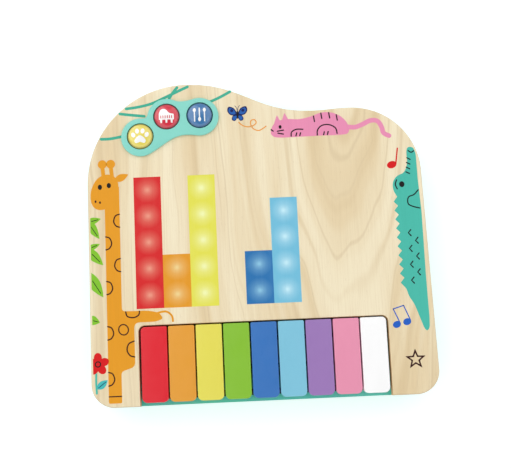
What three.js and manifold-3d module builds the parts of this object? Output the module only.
// Toy electronic keyboard: a plywood face on a moulded tray, nine colour keys on one pivot rod,
// three dome buttons and a 9 x 5 field of lights that shine through the thinned face.
// Millimetres. +X right, +Y to the back, +Z up. Origin: centre of the footprint, on the table.
import * as THREE from 'three';
import { mergeVertices } from 'three/addons/utils/BufferGeometryUtils.js';
import Module from 'manifold-3d';

const wasm = await Module();
wasm.setup();

// ---- Driving dimensions -------------------------------------------------------------------

const WIDTH = 296, DEPTH = 280; // footprint of face and tray
const CORNER_R = 20; // the two front corners
const LEFT_LOBE = { x: -60, y: 52, r: 88 }; // large rear lobe, tangent to the left side and the back
const RIGHT_LOBE = { x: 84.5, y: 53, r: 60 }; // small rear lobe
const WAIST = { x: 51, y: 111.6, reach: 14 }; // lowest point of the rear edge between the lobes
const LOBE_REACH = 50; // how far the rear edge stays level before it falls to the waist

const FIT = 0.2; // free gap between two pieces that touch on the real object
const FLOOR_Z = 2; // underside of the tray, above the feet
const FLOOR_T = 2.5, WALL_T = 2.5;
const FLOOR_TOP = FLOOR_Z + FLOOR_T;
const FACE_Z = 29, FACE_T = 9; // plywood face
const FACE_TOP = FACE_Z + FACE_T;
const RIM_Z = FACE_Z - FIT; // top of the tray's wall
const EDGE_R = 1.5; // rounded edges of the face

const KEYS = ['red', 'orange', 'yellow', 'green', 'blue', 'sky', 'violet', 'pink', 'white'];
const PITCH = 23.5, KEY_GAP = 1.2; // the pitch of a full-size piano's white keys
const KEY_W = PITCH - KEY_GAP;
const KEY_FRONT = -137.2, KEY_REAR = -73.1;
const KEY_TOP = FACE_TOP + 0.6, SKIRT_Z = 29.2, KEY_WALL = 1.8;
const KEY_NOSE_R = 4.5, KEY_END_R = 3.6;
const BED_HALF = 106.7, BED_REAR = -72.1, BED_R = 5; // cut-out of the face around the keys
const DECK_TOP = 24.4, DECK_T = 2, DECK_REAR = -120;
const PIVOT = { y: -64, z: 23, rod: 1.5, bore: 1.75, knuckle: 3.4, width: 14 };
const HOOK = { y: -124.2, t: 2.5, w: 5, bottom: 20.5, barb: 22.0, front: -128 };
const PLUNGER = { y: -98, r: 3, z: 18.9 };
const KEY_BOARD = { front: -112, rear: -84, z: 12, t: 1.6 };

const LIGHTS = { x: -1.5, y: 0, columns: 9, rows: 5, dx: 23.65, dy: 23.0, wall: 1.2 };
const LIGHT_BOARD = { z: 21, t: 1.6 };
const VENEER_T = 1.2; // what is left of the face over the lights

const BUTTONS = [
  { name: 'button_animals', x: -100.7, y: 94.0, colour: 0xe9dc55 },
  { name: 'button_piano', x: -77.1, y: 110.9, colour: 0xcf2f45 },
  { name: 'button_mallets', x: -47.9, y: 110.9, colour: 0x3f6aa5 },
];
const BUTTON_R = 11.2, BUTTON_RISE = 3.5;
const PANEL_T = 1.6;
const PANEL_Z = FACE_TOP + FIT;
const PANEL_LOBES = { left: [-100.5, 93.2], middle: [-77.1, 110], right: [-48.2, 109.7] };

const SPEAKER = { x: -62, y: 0, flange: 25.5, z: 5.5 };
const CELL = { r: 7.1, length: 50.5, pitch: 14.9, x: 0.8, z: 12.2 };
const BAY = { x0: -3, x1: 55, y: 2, half: 23, wall: 1.6, roof: 19.6 };
const SWITCH = { x: 98, y: -12 };
const HOUSING_SCREWS = [
  [-132, -108], [132, -108], [-134, 20], [130, 20], [-61, 131], [86, 103],
];
const FEET = { front_left: [-108, -122], front_right: [108, -122], rear_left: [-112, 72], rear_right: [112, 76] };
const MAIN_BOARD = { x: 70, y: 80, w: 76, d: 30, z: 9, t: 1.6 };

// ---- Solids -------------------------------------------------------------------------------

function solidOf(geometry) {
  const bare = geometry.index ? geometry.toNonIndexed() : geometry.clone();
  bare.deleteAttribute('normal');
  bare.deleteAttribute('uv');
  const merged = mergeVertices(bare, 1e-4);
  return new wasm.Manifold(new wasm.Mesh({
    numProp: 3,
    vertProperties: merged.attributes.position.array,
    triVerts: new Uint32Array(merged.index.array),
  }));
}

function geometryOf(solid) {
  const mesh = solid.getMesh();
  const geometry = new THREE.BufferGeometry();
  geometry.setAttribute('position', new THREE.BufferAttribute(new Float32Array(mesh.vertProperties), 3));
  geometry.setIndex(new THREE.BufferAttribute(new Uint32Array(mesh.triVerts), 1));
  geometry.computeVertexNormals();
  return geometry;
}

const join = (first, ...rest) => rest.reduce((sum, piece) => sum.add(piece), first);
const cut = (first, ...tools) => tools.reduce((left, tool) => left.subtract(tool), first);

// A box from its lowest to its highest corner.
function box(x0, x1, y0, y1, z0, z1) {
  const geometry = new THREE.BoxGeometry(x1 - x0, y1 - y0, z1 - z0);
  geometry.translate((x0 + x1) / 2, (y0 + y1) / 2, (z0 + z1) / 2);
  return solidOf(geometry);
}

// An upright cylinder.
function post(x, y, r, z0, z1, sides = 8) {
  const geometry = new THREE.CylinderGeometry(r, r, z1 - z0, sides);
  geometry.rotateX(Math.PI / 2);
  geometry.translate(x, y, (z0 + z1) / 2);
  return solidOf(geometry);
}

// A cylinder along X.
function rod(x0, x1, y, z, r, sides = 10) {
  const geometry = new THREE.CylinderGeometry(r, r, x1 - x0, sides);
  geometry.rotateZ(Math.PI / 2);
  geometry.translate((x0 + x1) / 2, y, z);
  return solidOf(geometry);
}

// A shape drawn in plan, from z0 up to z1.
function slab(shape, z0, z1, segments = 4) {
  const geometry = new THREE.ExtrudeGeometry(shape, {
    depth: z1 - z0, bevelEnabled: false, curveSegments: segments,
  });
  geometry.translate(0, 0, z0);
  return solidOf(geometry);
}

// The same with both edges rounded.
function softSlab(shape, z0, z1, edge, segments, steps) {
  const geometry = new THREE.ExtrudeGeometry(shape, {
    depth: z1 - z0 - 2 * edge, bevelEnabled: true, bevelThickness: edge, bevelSize: edge,
    bevelOffset: -edge, bevelSegments: steps, curveSegments: segments,
  });
  geometry.translate(0, 0, z0 + edge);
  return solidOf(geometry);
}

// A turned piece: profile points are [radius, height], listed upwards on the outside.
function turned(profile, sides = 16) {
  const points = profile.map(([r, z]) => new THREE.Vector2(r, z));
  const geometry = new THREE.LatheGeometry(points, sides);
  geometry.rotateX(Math.PI / 2);
  return solidOf(geometry);
}

// A rectangle in plan with its own radius at each corner: front left, front right, rear right, rear left.
function rectangle(x0, x1, y0, y1, radii = [0, 0, 0, 0]) {
  const [a, b, c, d] = radii;
  const shape = new THREE.Shape();
  shape.moveTo(x0 + a, y0);
  shape.lineTo(x1 - b, y0);
  if (b) shape.absarc(x1 - b, y0 + b, b, -Math.PI / 2, 0);
  shape.lineTo(x1, y1 - c);
  if (c) shape.absarc(x1 - c, y1 - c, c, 0, Math.PI / 2);
  shape.lineTo(x0 + d, y1);
  if (d) shape.absarc(x0 + d, y1 - d, d, Math.PI / 2, Math.PI);
  shape.lineTo(x0, y0 + a);
  if (a) shape.absarc(x0 + a, y0 + a, a, Math.PI, 1.5 * Math.PI);
  return shape;
}

// ---- Outlines -----------------------------------------------------------------------------

// The grand-piano outline of face and tray, moved inwards by inset. The face has the key bed cut into
// its front edge.
function outline(inset = 0, hasBed = false) {
  const side = WIDTH / 2, front = -DEPTH / 2, corner = CORNER_R - inset;
  const shape = new THREE.Shape();
  shape.moveTo(-side + CORNER_R, front + inset);
  if (hasBed) {
    shape.lineTo(-BED_HALF, front + inset);
    shape.lineTo(-BED_HALF, BED_REAR - BED_R);
    shape.absarc(-BED_HALF + BED_R, BED_REAR - BED_R, BED_R, Math.PI, Math.PI / 2, true);
    shape.lineTo(BED_HALF - BED_R, BED_REAR);
    shape.absarc(BED_HALF - BED_R, BED_REAR - BED_R, BED_R, Math.PI / 2, 0, true);
    shape.lineTo(BED_HALF, front + inset);
  }
  shape.lineTo(side - CORNER_R, front + inset);
  shape.absarc(side - CORNER_R, front + CORNER_R, corner, -Math.PI / 2, 0);
  shape.lineTo(RIGHT_LOBE.x + RIGHT_LOBE.r - inset, RIGHT_LOBE.y);
  shape.absarc(RIGHT_LOBE.x, RIGHT_LOBE.y, RIGHT_LOBE.r - inset, 0, Math.PI / 2);
  const crest = RIGHT_LOBE.y + RIGHT_LOBE.r - inset;
  const top = LEFT_LOBE.y + LEFT_LOBE.r - inset;
  const waist = WAIST.y - inset;
  shape.bezierCurveTo(RIGHT_LOBE.x - WAIST.reach, crest, WAIST.x + WAIST.reach, waist, WAIST.x, waist);
  shape.bezierCurveTo(WAIST.x - LOBE_REACH, waist, LEFT_LOBE.x + LOBE_REACH, top, LEFT_LOBE.x, top);
  shape.absarc(LEFT_LOBE.x, LEFT_LOBE.y, LEFT_LOBE.r - inset, Math.PI / 2, Math.PI);
  shape.lineTo(-side + inset, front + CORNER_R);
  shape.absarc(-side + CORNER_R, front + CORNER_R, corner, Math.PI, 1.5 * Math.PI);
  return shape;
}

// Three round lobes, one around each button, run together by smooth waists. r is the lobes' radius.
function lobedOutline(r) {
  const degrees = Math.PI / 180;
  const on = ([x, y], angle) => [x + r * Math.cos(angle * degrees), y + r * Math.sin(angle * degrees)];
  const along = (angle) => [-Math.sin(angle * degrees), Math.cos(angle * degrees)];
  const { left, middle, right } = PANEL_LOBES;
  const shape = new THREE.Shape();
  const lobe = (centre, from, to) =>
    shape.absarc(centre[0], centre[1], r, from * degrees, to * degrees);
  const waist = (a, from, b, to, reach) => {
    const [p, q, u, v] = [on(a, from), on(b, to), along(from), along(to)];
    shape.bezierCurveTo(
      p[0] + reach * u[0], p[1] + reach * u[1], q[0] - reach * v[0], q[1] - reach * v[1], q[0], q[1],
    );
  };
  lobe(right, -100, 106);
  waist(right, 106, middle, 64, 5);
  lobe(middle, 64, 148);
  waist(middle, 148, left, 84, 6);
  lobe(left, 84, 300);
  waist(left, 300, right, 260, 20);
  return shape;
}

const columnX = (column) => LIGHTS.x + (column - (LIGHTS.columns - 1) / 2) * LIGHTS.dx;
const rowY = (row) => LIGHTS.y + (row - (LIGHTS.rows - 1) / 2) * LIGHTS.dy;
const keyX = (index) => (index - (KEYS.length - 1) / 2) * PITCH;

// ---- Face and lights ----------------------------------------------------------------------

function makeFace() {
  const margin = 1.6;
  const x = (LIGHTS.columns / 2) * LIGHTS.dx + margin, y = (LIGHTS.rows / 2) * LIGHTS.dy + margin;
  return cut(
    softSlab(outline(0, true), FACE_Z, FACE_TOP, EDGE_R, 12, 2),
    ...BUTTONS.map((b) => post(b.x, b.y, 13.1, FACE_Z - 1, FACE_TOP + 1, 18)),
    box(LIGHTS.x - x, LIGHTS.x + x, LIGHTS.y - y, LIGHTS.y + y, FACE_Z - 1, FACE_TOP - VENEER_T),
    ...HOUSING_SCREWS.map(([sx, sy]) => post(sx, sy, 1.9, FACE_Z - 1, FACE_TOP - 2.5, 6)),
  );
}

function makeColourFilm() {
  const x = (LIGHTS.columns / 2) * LIGHTS.dx, y = (LIGHTS.rows / 2) * LIGHTS.dy;
  return box(LIGHTS.x - x, LIGHTS.x + x, LIGHTS.y - y, LIGHTS.y + y, 36.2, 36.6);
}

// Baffle grid: one open cell for each light.
function makeLightGrid() {
  const half = LIGHTS.wall / 2, z0 = LIGHT_BOARD.z + LIGHT_BOARD.t + FIT, z1 = 36;
  const x = (LIGHTS.columns / 2) * LIGHTS.dx + half, y = (LIGHTS.rows / 2) * LIGHTS.dy + half;
  const cells = [];
  for (let column = 0; column < LIGHTS.columns; column++) {
    for (let row = 0; row < LIGHTS.rows; row++) {
      const [cx, cy] = [columnX(column), rowY(row)];
      const [dx, dy] = [LIGHTS.dx / 2 - half, LIGHTS.dy / 2 - half];
      cells.push(box(cx - dx, cx + dx, cy - dy, cy + dy, z0 - 1, z1 + 1));
    }
  }
  return cut(box(LIGHTS.x - x, LIGHTS.x + x, LIGHTS.y - y, LIGHTS.y + y, z0, z1), ...cells);
}

function makeLightBoard() {
  const top = LIGHT_BOARD.z + LIGHT_BOARD.t;
  let board = box(-116, 113, -59.2, 59.2, LIGHT_BOARD.z, top);
  for (let column = 0; column < LIGHTS.columns; column++) {
    for (let row = 0; row < LIGHTS.rows; row++) {
      const [cx, cy] = [columnX(column), rowY(row)];
      board = board.add(box(cx - 1.75, cx + 1.75, cy - 1.4, cy + 1.4, top - 0.2, top + 1));
    }
  }
  return board;
}

// ---- Tray ---------------------------------------------------------------------------------

// Slots of the loudspeaker grille, longest in the middle.
function grilleSlots() {
  const pitch = 5.6, width = 2.6, reach = 20;
  return [-3, -2, -1, 0, 1, 2, 3].map((step) => {
    const half = Math.sqrt(reach ** 2 - (step * pitch) ** 2);
    const y = SPEAKER.y + step * pitch;
    return box(
      SPEAKER.x - half, SPEAKER.x + half, y - width / 2, y + width / 2, FLOOR_Z - 1, FLOOR_TOP + 1,
    );
  });
}

// Ribs that carry the pivot rod, one on each line between two keys.
function pivotRibs() {
  const ribs = [];
  for (let line = 0; line <= KEYS.length; line++) {
    const x = keyX(line) - PITCH / 2;
    const rib = box(x - 1.5, x + 1.5, PIVOT.y - 4, PIVOT.y + 3.2, FLOOR_TOP - 0.5, PIVOT.z + 1.4);
    const seat = rod(x - 2, x + 2, PIVOT.y, PIVOT.z, PIVOT.bore);
    const mouth = box(x - 2, x + 2, PIVOT.y - 1.7, PIVOT.y + 1.7, PIVOT.z, PIVOT.z + 3);
    ribs.push(cut(rib, seat, mouth));
  }
  return ribs;
}

function makeTray() {
  const rim = outline();
  const shell = cut(
    softSlab(rim, FLOOR_Z, RIM_Z + 10, 3, 12, 2),
    box(-WIDTH, WIDTH, -DEPTH, DEPTH, RIM_Z, RIM_Z + 20),
    slab(outline(WALL_T), FLOOR_TOP, RIM_Z + 20, 8),
    box(-BED_HALF, BED_HALF, -DEPTH, -DEPTH / 2 + WALL_T + 1, DECK_TOP, RIM_Z + 20),
  );

  const front = -DEPTH / 2 + 1;
  const deck = box(-BED_HALF - 0.1, BED_HALF + 0.1, front, DECK_REAR, DECK_TOP - DECK_T, DECK_TOP);
  const cheeks = [-1, 1].map((s) => {
    const [a, b] = [s * BED_HALF, s * (BED_HALF + 2.2)];
    return box(Math.min(a, b), Math.max(a, b), front, BED_REAR, FLOOR_TOP - 0.5, RIM_Z);
  });

  const bosses = HOUSING_SCREWS.map(([x, y]) => post(x, y, 4.9, FLOOR_TOP - 0.5, RIM_Z));
  const keeperPosts = [-1, 1].map((s) => post(s * 113, PIVOT.y, 3.2, FLOOR_TOP - 0.5, 26.6, 6));
  const boardRails = [KEY_BOARD.front + 3, KEY_BOARD.rear - 3].map((y) =>
    box(-BED_HALF - 0.5, BED_HALF + 0.5, y - 1, y + 1, FLOOR_TOP - 0.5, KEY_BOARD.z - FIT));
  const lightPosts = [[-112.5, -52], [109.5, -52], [-112.5, 52], [109.5, 52], [-16, -52], [-16, 52]].map(
    ([x, y]) => post(x, y, 3, FLOOR_TOP - 0.5, LIGHT_BOARD.z - FIT, 6));
  const buttonPosts = [[-88.8, 101.6], [-62.6, 107], [-107, 84]].map(
    ([x, y]) => post(x, y, 3, FLOOR_TOP - 0.5, 14 - FIT, 6));
  const mainPosts = [-1, 1].map((s) =>
    post(MAIN_BOARD.x + s * 34, MAIN_BOARD.y, 3.2, FLOOR_TOP - 0.5, MAIN_BOARD.z - FIT));

  const speakerRing = cut(
    post(SPEAKER.x, SPEAKER.y, 27.6, FLOOR_TOP - 0.5, 6.9, 20),
    post(SPEAKER.x, SPEAKER.y, 26.1, FLOOR_Z, 8, 20),
  );
  const clampBosses = [-1, 1].map((s) => post(SPEAKER.x + s * 31.5, SPEAKER.y, 3.6, FLOOR_TOP - 0.5, 6.9));

  const bay = box(
    BAY.x0 - BAY.wall, BAY.x1 + BAY.wall, BAY.y - BAY.half - BAY.wall, BAY.y + BAY.half + BAY.wall,
    FLOOR_TOP - 0.5, BAY.roof + 1,
  );
  const doorBoss = post(61.5, BAY.y, 3.8, FLOOR_TOP - 0.5, 12);
  const switchPosts = [-1, 1].map((s) =>
    box(SWITCH.x + s * 18.2 - 1.5, SWITCH.x + s * 18.2 + 1.5, SWITCH.y - 4, SWITCH.y + 4, FLOOR_TOP - 0.5, 12));

  const solid = join(
    shell, deck, ...cheeks, ...bosses, ...keeperPosts, ...boardRails, ...lightPosts, ...buttonPosts,
    ...mainPosts, speakerRing, ...clampBosses, bay, doorBoss, ...switchPosts, ...pivotRibs(),
  );

  const hookSlots = KEYS.map((_, i) =>
    box(keyX(i) - 3.6, keyX(i) + 3.6, -127, -121.2, DECK_TOP - DECK_T - 1, DECK_TOP + 1));
  const screwWays = HOUSING_SCREWS.flatMap(([x, y]) => [
    post(x, y, 3.6, FLOOR_Z - 1, 12), post(x, y, 2, 10, RIM_Z + 1, 6),
  ]);
  const footSeats = Object.values(FEET).map(([x, y]) => post(x, y, 7.6, FLOOR_Z - 1, FLOOR_Z + 0.8, 12));
  const bayHollow = box(BAY.x0, BAY.x1, BAY.y - BAY.half, BAY.y + BAY.half, FLOOR_Z - 1, BAY.roof);
  const tabNotches = [-1, 1].map((s) => {
    const y = BAY.y + s * CELL.pitch / 2;
    return box(BAY.x0 - 4, BAY.x0 + 1, y - 3, y + 3, FLOOR_TOP, 8.6);
  });
  const doorEar = box(BAY.x1 - 1, 66.4, BAY.y - 6.3, BAY.y + 6.3, FLOOR_Z - 1, 3.7);
  const smallHoles = [
    ...[-1, 1].map((s) => post(s * 113, PIVOT.y, 1.4, 20, 30, 6)),
    ...[-1, 1].map((s) => post(SPEAKER.x + s * 31.5, SPEAKER.y, 1.6, FLOOR_TOP, 9, 6)),
    ...[-1, 1].map((s) => post(MAIN_BOARD.x + s * 34, MAIN_BOARD.y, 1.6, FLOOR_TOP + 0.5, 12, 6)),
    post(61.5, BAY.y, 2.1, FLOOR_Z, 11, 6),
  ];
  const switchSlot = box(
    SWITCH.x - 7.4, SWITCH.x + 7.4, SWITCH.y - 2.4, SWITCH.y + 2.4, FLOOR_Z - 1, FLOOR_TOP + 1,
  );
  return cut(
    solid, ...hookSlots, ...screwWays, ...footSeats, bayHollow, ...tabNotches, doorEar, ...smallHoles,
    switchSlot, ...grilleSlots(),
  );
}

function makeHousingScrew([x, y]) {
  return join(post(x, y, 2.9, 9.8, 11.8), post(x, y, 1.4, 11.7, 34.5, 6));
}

function makeFoot([x, y]) {
  return post(x, y, 7, 0, FLOOR_Z + 0.6, 16);
}

// ---- Keys ---------------------------------------------------------------------------------

// A hollow cap with a tail that turns on the rod, a plunger and a hook that stops it rising.
function makeKey(index) {
  const x = keyX(index), half = KEY_W / 2;
  const radii = [
    KEY_NOSE_R, KEY_NOSE_R, index === KEYS.length - 1 ? KEY_END_R : 0.8, index === 0 ? KEY_END_R : 0.8,
  ];
  const cap = slab(rectangle(x - half, x + half, KEY_FRONT, KEY_REAR, radii), SKIRT_Z, KEY_TOP, 3);
  const w = KEY_WALL;
  const inner = radii.map((r) => Math.max(0, r - w));
  const roof = KEY_TOP - w;
  const hollow = slab(
    rectangle(x - half + w, x + half - w, KEY_FRONT + w, KEY_REAR - w, inner), SKIRT_Z - 1, roof, 1,
  );
  const into = roof + 0.5; // pieces inside the cap run a little into its roof
  const [tail, low, high] = [PIVOT.width / 2, PIVOT.z - 2.5, PIVOT.z + 2.5];
  const stalk = join(
    box(x - tail, x + tail, KEY_REAR - w, KEY_REAR, low, into),
    box(x - tail, x + tail, KEY_REAR - w, PIVOT.y, low, high),
    rod(x - tail, x + tail, PIVOT.y, PIVOT.z, PIVOT.knuckle),
    post(x, PLUNGER.y, PLUNGER.r, PLUNGER.z, into, 6),
    box(x - HOOK.w / 2, x + HOOK.w / 2, HOOK.y - HOOK.t / 2, HOOK.y + HOOK.t / 2, HOOK.bottom, into),
    box(x - HOOK.w / 2, x + HOOK.w / 2, HOOK.front, HOOK.y + HOOK.t / 2, HOOK.bottom, HOOK.barb),
  );
  return cut(cut(cap, hollow).add(stalk), rod(x - tail - 1, x + tail + 1, PIVOT.y, PIVOT.z, PIVOT.bore));
}

const makePivotRod = () => rod(-108.6, 108.6, PIVOT.y, PIVOT.z, PIVOT.rod, 10);

// Bar over the knuckles, with a tab on the rod at each rib.
function makePivotKeeper() {
  let bar = box(-117, 117, PIVOT.y - 3, PIVOT.y + 2.6, 27, 28.6);
  for (let line = 0; line <= KEYS.length; line++) {
    const x = keyX(line) - PITCH / 2;
    bar = bar.add(box(x - 1.4, x + 1.4, PIVOT.y - 1.5, PIVOT.y + 1.5, PIVOT.z + PIVOT.rod + 0.3, 27.1));
  }
  return cut(bar, post(-113, PIVOT.y, 1.6, 26, 30, 6), post(113, PIVOT.y, 1.6, 26, 30, 6));
}

const makeKeyFelt = () => box(-106, 106, -134.6, -129.4, DECK_TOP + FIT, 25.3);

const makeKeyBoard = () =>
  box(-106, 106, KEY_BOARD.front, KEY_BOARD.rear, KEY_BOARD.z, KEY_BOARD.z + KEY_BOARD.t);

// A hollow-looking dome of silicone that stands on a mat.
function dome(x, y, z0, z1, r) {
  return turned([[0, z0], [r, z0], [r * 0.5, z1], [0, z1]], 8)
    .translate([x, y, 0]);
}

function makeKeyMat() {
  const z = KEY_BOARD.z + KEY_BOARD.t + FIT;
  const base = box(-105, 105, KEY_BOARD.front + 4, KEY_BOARD.rear - 4, z, z + 1);
  return join(base, ...KEYS.map((_, i) => dome(keyX(i), PLUNGER.y, z + 0.5, 18.5, 6)));
}

// ---- Buttons ------------------------------------------------------------------------------

function makeButtonPanel() {
  const collars = BUTTONS.map((b) => post(b.x, b.y, 12.8, FACE_Z - 0.7, PANEL_Z + 0.5, 16));
  const ways = BUTTONS.map((b) => post(b.x, b.y, 11.7, FACE_Z - 2, PANEL_Z + PANEL_T + 1, 18));
  return cut(join(softSlab(lobedOutline(17), PANEL_Z, PANEL_Z + PANEL_T, 0.5, 10, 1), ...collars), ...ways);
}

function makeButton({ x, y }) {
  const rim = PANEL_Z + PANEL_T - 1;
  const profile = [
    [0, 20.7], [3.5, 20.7], [3.5, 26.4], [12.4, 26.4], [12.4, 27.9], [BUTTON_R, 27.9], [BUTTON_R, rim],
  ];
  const steps = 3;
  for (let i = 1; i <= steps; i++) {
    const turn = (i / steps) * (Math.PI / 2);
    profile.push([i === steps ? 0 : BUTTON_R * Math.cos(turn), rim + BUTTON_RISE * Math.sin(turn)]);
  }
  return turned(profile, 18).translate([x, y, 0]);
}

const makeButtonBoard = () => slab(lobedOutline(14.8), 14, 15.6, 2);

function makeButtonMat() {
  return join(
    slab(lobedOutline(13.2), 15.8, 16.8, 2),
    ...BUTTONS.map((b) => dome(b.x, b.y, 16.3, 20.3, 6)),
  );
}

// ---- Loudspeaker, seen from its front side down --------------------------------------------

const atSpeaker = (solid) => solid.translate([SPEAKER.x, SPEAKER.y, 0]);

function makeSpeakerFrame() {
  const z = SPEAKER.z;
  return atSpeaker(turned([
    [22.4, z], [SPEAKER.flange, z], [SPEAKER.flange, z + 1.2], [23.6, z + 1.2], [13.5, z + 8.2],
    [12, z + 8.2], [12, z + 7], [22.4, z + 1.2], [22.4, z],
  ], 18));
}

function makeSpeakerCone() {
  const z = SPEAKER.z;
  return atSpeaker(turned([
    [0, z + 4.6], [7.5, z + 5.8], [21.8, z + 0.2], [21.8, z + 0.8], [8, z + 6.5], [0, z + 5.4],
  ], 16));
}

const makeSpeakerMagnet = () => post(SPEAKER.x, SPEAKER.y, 14, SPEAKER.z + 8.5, 19.6, 16);

function makeSpeakerGasket() {
  const [x, y] = [SPEAKER.x, SPEAKER.y];
  return cut(post(x, y, 25.4, FLOOR_TOP + 0.1, 5.3, 16), post(x, y, 22.6, 4, 6, 16));
}

// Ring that holds the loudspeaker's rim, with an ear at each side.
function makeSpeakerClamp() {
  const [x, y] = [SPEAKER.x, SPEAKER.y];
  const ears = box(x - 35, x + 35, y - 4, y + 4, 7.1, 8.3);
  const screwHoles = [-1, 1].map((s) => post(x + s * 31.5, y, 1.7, 6, 10, 6));
  return cut(join(post(x, y, 27, 7.1, 8.3, 18), ears), post(x, y, 24.4, 6, 10, 18), ...screwHoles);
}

const makeClampScrew = (side) => {
  const x = SPEAKER.x + side * 31.5;
  return join(post(x, SPEAKER.y, 2.7, 8.5, 10), post(x, SPEAKER.y, 1.2, 4.8, 8.6, 6));
};

// ---- Power --------------------------------------------------------------------------------

const cellY = (index) => BAY.y + (index - 1) * CELL.pitch;

// A penlight cell along X; side is +1 where its positive end points right.
function makeCell(index) {
  const side = index === 1 ? 1 : -1, { r, length } = CELL;
  const profile = [
    [0, 0], [r - 0.6, 0], [r, 0.6], [r, length - 1.8], [r - 0.7, length - 1.2], [2.7, length - 1.2],
    [2.7, length], [0, length],
  ];
  const points = profile.map(([radius, z]) => new THREE.Vector2(radius, z));
  const geometry = new THREE.LatheGeometry(points, 12);
  geometry.rotateZ(-side * Math.PI / 2);
  geometry.translate(side > 0 ? CELL.x : CELL.x + length, cellY(index), CELL.z);
  return solidOf(geometry);
}

// A contact plate at one end of the bay; each cell it meets has a raised pip or a spring.
function makeContact(side, cells) {
  const wall = side > 0 ? BAY.x1 - FIT : BAY.x0 + FIT;
  const face = wall - side * 0.6;
  const ys = cells.map(cellY);
  const plate = box(
    Math.min(wall, face), Math.max(wall, face), Math.min(...ys) - 4.4, Math.max(...ys) + 4.4, 8.8, 17.5,
  );
  const cellEnd = side > 0 ? CELL.x + CELL.length : CELL.x;
  const reach = Math.abs(cellEnd - face) - 0.3;
  const tips = ys.map((y) => {
    const geometry = new THREE.CylinderGeometry(2, 3.6, reach + 0.1, 6);
    geometry.rotateZ(side > 0 ? Math.PI / 2 : -Math.PI / 2);
    geometry.translate(face - side * (reach / 2 - 0.05), y, CELL.z + 0.9);
    return solidOf(geometry);
  });
  return join(plate, ...tips);
}

// Door with two tabs under the tray's floor at its left end and a screwed ear at its right end.
function makeDoor() {
  const gap = 0.4;
  const plate = box(
    BAY.x0 + gap, BAY.x1 - gap, BAY.y - BAY.half + gap, BAY.y + BAY.half - gap, FLOOR_Z + 0.1, 4.3,
  );
  const ear = box(BAY.x1 - 2, 66, BAY.y - 5.9, BAY.y + 5.9, FLOOR_Z + 0.1, 3.5);
  const tabs = [-1, 1].flatMap((s) => {
    const y = BAY.y + s * CELL.pitch / 2;
    return [
      box(BAY.x0 - 2.4, BAY.x0 + 2.5, y - 2.4, y + 2.4, 4.8, 5.8),
      box(BAY.x0 + gap, BAY.x0 + 2.5, y - 2.4, y + 2.4, 4, 5.8),
    ];
  });
  return cut(
    join(plate, ear, ...tabs), post(61.5, BAY.y, 1.8, 0, 5, 6), post(61.5, BAY.y, 3.1, 0, 2.9),
  );
}

const makeDoorScrew = () =>
  join(post(61.5, BAY.y, 2.7, FLOOR_Z + 0.1, 2.8), post(61.5, BAY.y, 1.4, 2.7, 6.4, 6));

// ---- Electronics --------------------------------------------------------------------------

function makeMainBoard() {
  const { x, y, w, d, z, t } = MAIN_BOARD, top = z + t;
  const board = box(x - w / 2, x + w / 2, y - d / 2, y + d / 2, z, top);
  const chip = box(x - 8, x + 6, y - 7, y + 7, top - 0.2, top + 2);
  const parts = [post(x + 18, y + 8, 3.2, top - 0.2, top + 8), post(x + 25, y - 8, 2.5, top - 0.2, top + 7)];
  const sockets = [-26, -16].map((dx) => box(x + dx - 3.5, x + dx + 3.5, y - 14, y - 9, top - 0.2, top + 5));
  const holes = [-1, 1].map((s) => post(x + s * 34, y, 1.7, z - 1, top + 1, 6));
  return cut(join(board, chip, ...parts, ...sockets), ...holes);
}

const makeBoardScrew = (side) => {
  const x = MAIN_BOARD.x + side * 34, z = MAIN_BOARD.z + MAIN_BOARD.t + FIT;
  return join(post(x, MAIN_BOARD.y, 2.7, z, z + 1.5), post(x, MAIN_BOARD.y, 1.2, 5.5, z + 0.1, 6));
};

function makeSwitchBody() {
  const { x, y } = SWITCH;
  return cut(
    box(x - 16.4, x + 16.4, y - 3.6, y + 3.6, 6, 12), box(x - 6.4, x + 6.4, y - 1.5, y + 1.5, 5, 9),
  );
}

// Thumb slide of the power and volume switch.
function makeSwitchSlide() {
  const { x, y } = SWITCH;
  return join(
    box(x - 3, x + 3, y - 2, y + 2, 0.9, 4.9),
    box(x - 12, x + 12, y - 3.6, y + 3.6, FLOOR_TOP + FIT, 5.6),
    box(x - 1.5, x + 1.5, y - 1, y + 1, 5.5, 8.4),
  );
}

// Insulated lead along a smooth line through its points. A ribbon is flat, a lead round.
function makeLead(points, width, height, steps) {
  const curve = new THREE.CatmullRomCurve3(points.map((p) => new THREE.Vector3(...p)));
  const section = new THREE.Shape();
  section.absellipse(0, 0, height / 2, width / 2, 0, 2 * Math.PI);
  return solidOf(new THREE.ExtrudeGeometry(section, { steps, curveSegments: 3, extrudePath: curve }));
}

// ---- The assembly -------------------------------------------------------------------------

const FINISHES = {
  plywood: { color: 0xe9d8b4, roughness: 0.55 },
  teal: { color: 0x52b7a5, roughness: 0.4 },
  mint: { color: 0x84d8c8, roughness: 0.35 },
  film: { color: 0xf3efe6, roughness: 0.5 },
  grid: { color: 0xf4f4f2, roughness: 0.6 },
  board: { color: 0x2f7a45, roughness: 0.5 },
  silicone: { color: 0xb9bcbd, roughness: 0.7 },
  felt: { color: 0x3b3b40, roughness: 1 },
  steel: { color: 0xb8bbbf, roughness: 0.3, metalness: 1 },
  black: { color: 0x1c1c1e, roughness: 0.5 },
  rubber: { color: 0xd9dcdb, roughness: 0.85 },
  wrap: { color: 0x4a6fa8, roughness: 0.35 },
  paper: { color: 0x2b2b2d, roughness: 0.9 },
};
const KEY_COLOURS = [0xe03040, 0xe5a03a, 0xe9df5c, 0x87c33d, 0x3f76bd, 0x83c4dd, 0x9c78b8, 0xe891b3, 0xf7f7f5];

const object = new THREE.Group();

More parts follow.
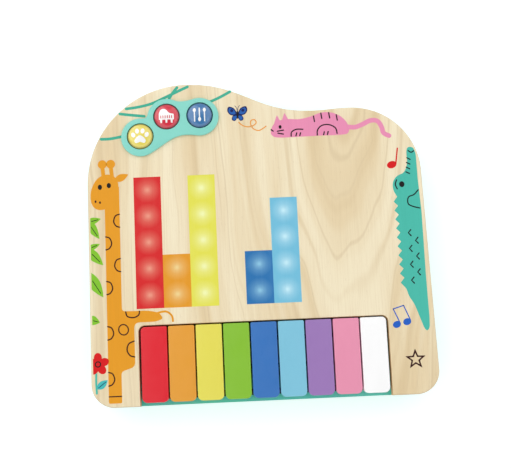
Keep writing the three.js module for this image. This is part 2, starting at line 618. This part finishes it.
function add(name, solid, finish) {
  const material = new THREE.MeshStandardMaterial(finish);
  const mesh = new THREE.Mesh(geometryOf(solid), material);
  mesh.name = name;
  object.add(mesh);
}

add('face_board', makeFace(), FINISHES.plywood);
add('colour_film', makeColourFilm(), FINISHES.film);
add('light_grid', makeLightGrid(), FINISHES.grid);
add('light_board', makeLightBoard(), FINISHES.board);
add('tray', makeTray(), FINISHES.teal);
HOUSING_SCREWS.forEach((at, i) => add(`housing_screw_${i + 1}`, makeHousingScrew(at), FINISHES.steel));
Object.entries(FEET).forEach(([name, at]) => add(`foot_${name}`, makeFoot(at), FINISHES.rubber));

KEYS.forEach((name, i) =>
  add(`key_${i + 1}_${name}`, makeKey(i), { color: KEY_COLOURS[i], roughness: 0.4 }));
add('key_pivot_rod', makePivotRod(), FINISHES.steel);
add('key_pivot_keeper', makePivotKeeper(), FINISHES.black);
add('key_felt', makeKeyFelt(), FINISHES.felt);
add('key_contact_mat', makeKeyMat(), FINISHES.silicone);
add('key_contact_board', makeKeyBoard(), FINISHES.board);

add('button_panel', makeButtonPanel(), FINISHES.mint);
BUTTONS.forEach((button) => add(button.name, makeButton(button), { color: button.colour, roughness: 0.25 }));
add('button_contact_mat', makeButtonMat(), FINISHES.silicone);
add('button_contact_board', makeButtonBoard(), FINISHES.board);

add('speaker_gasket', makeSpeakerGasket(), FINISHES.felt);
add('speaker_frame', makeSpeakerFrame(), FINISHES.steel);
add('speaker_cone', makeSpeakerCone(), FINISHES.paper);
add('speaker_magnet', makeSpeakerMagnet(), FINISHES.steel);
add('speaker_clamp', makeSpeakerClamp(), FINISHES.black);
add('speaker_screw_left', makeClampScrew(-1), FINISHES.steel);
add('speaker_screw_right', makeClampScrew(1), FINISHES.steel);

[0, 1, 2].forEach((i) => add(`battery_${i + 1}`, makeCell(i), FINISHES.wrap));
add('contact_positive', makeContact(-1, [0]), FINISHES.steel);
add('contact_left_bridge', makeContact(-1, [1, 2]), FINISHES.steel);
add('contact_right_bridge', makeContact(1, [0, 1]), FINISHES.steel);
add('contact_negative', makeContact(1, [2]), FINISHES.steel);
add('battery_door', makeDoor(), FINISHES.teal);
add('battery_door_screw', makeDoorScrew(), FINISHES.steel);

add('main_board', makeMainBoard(), FINISHES.board);
add('main_board_screw_left', makeBoardScrew(-1), FINISHES.steel);
add('main_board_screw_right', makeBoardScrew(1), FINISHES.steel);
add('switch_body', makeSwitchBody(), FINISHES.black);
add('switch_slide', makeSwitchSlide(), FINISHES.black);

const speakerRoute = [[-46, 14, 14], [-34, 30, 12], [-20, 40, 10], [10, 50, 9], [30, 58, 12], [44, 61.5, 14.4]];
const batteryRoute = [[60, 22, 12], [70, 30, 10], [72, 44, 8], [66, 56, 10], [54.5, 61.5, 14.4]];
add('speaker_lead', makeLead(speakerRoute, 2.6, 1.4, 12), FINISHES.black);
add('battery_lead', makeLead(batteryRoute, 2.6, 1.4, 10), { color: 0xb02a2a, roughness: 0.5 });

export default object;
